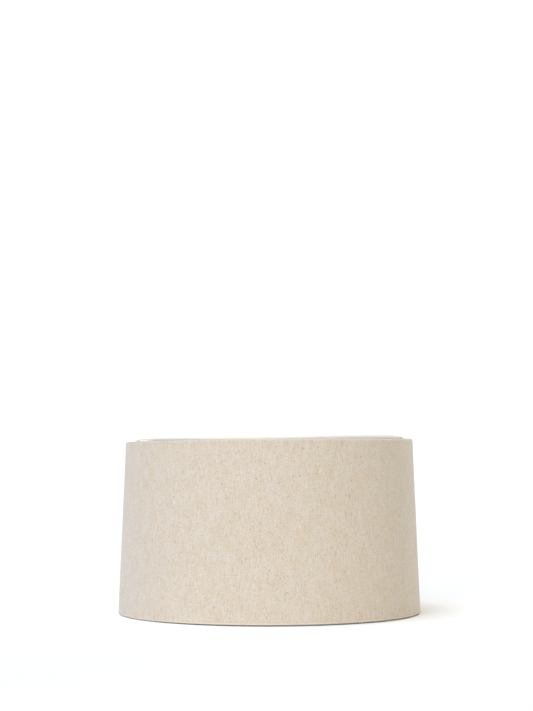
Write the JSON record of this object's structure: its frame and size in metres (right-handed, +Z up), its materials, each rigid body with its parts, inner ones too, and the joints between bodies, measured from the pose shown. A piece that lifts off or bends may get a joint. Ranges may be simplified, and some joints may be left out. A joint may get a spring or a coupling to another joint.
{
  "type": "lamp shade",
  "caption": "Short tapered fabric drum lamp shade with a second, narrower shade inside it, on wire arms from a fitter ring.",
  "frame": {"origin": "on the shade's axis, at the level of the outer shade's lower rim, which the shade stands on", "axes": "+Z up along the axis; the wall seams and their tapes are at +Y, and arm_1 runs towards -Y"},
  "size_m": [0.3798, 0.3798, 0.22],
  "materials": {
    "linen": "plain-weave undyed linen, matt, with uneven threads and small brown and grey flecks",
    "film": "white matt laminated film",
    "wire": "white powder coat",
    "tape": "white adhesive tape",
    "label": "white blank sticker",
    "plastic": "white moulded plastic, satin"
  },
  "bodies": {
    "shade": {"outer_cover": "linen", "outer_film": "film", "outer_top_ring": "wire", "outer_bottom_ring": "wire", "outer_seam_tape": "tape", "inner_cover": "linen", "inner_film": "film", "inner_top_ring": "wire", "inner_bottom_ring": "wire", "inner_seam_tape": "tape", "blank_label": "label", "arm_1": "wire", "arm_2": "wire", "arm_3": "wire", "fitter_ring": "wire"},
    "reducer": {"reducer_ring": "plastic"}
  },
  "joints": [
    {"name": "reducer_lift", "type": "slide", "parent": "shade", "child": "reducer", "axis": [0, 0, 1], "range_m": [0, 0.06]}
  ]
}
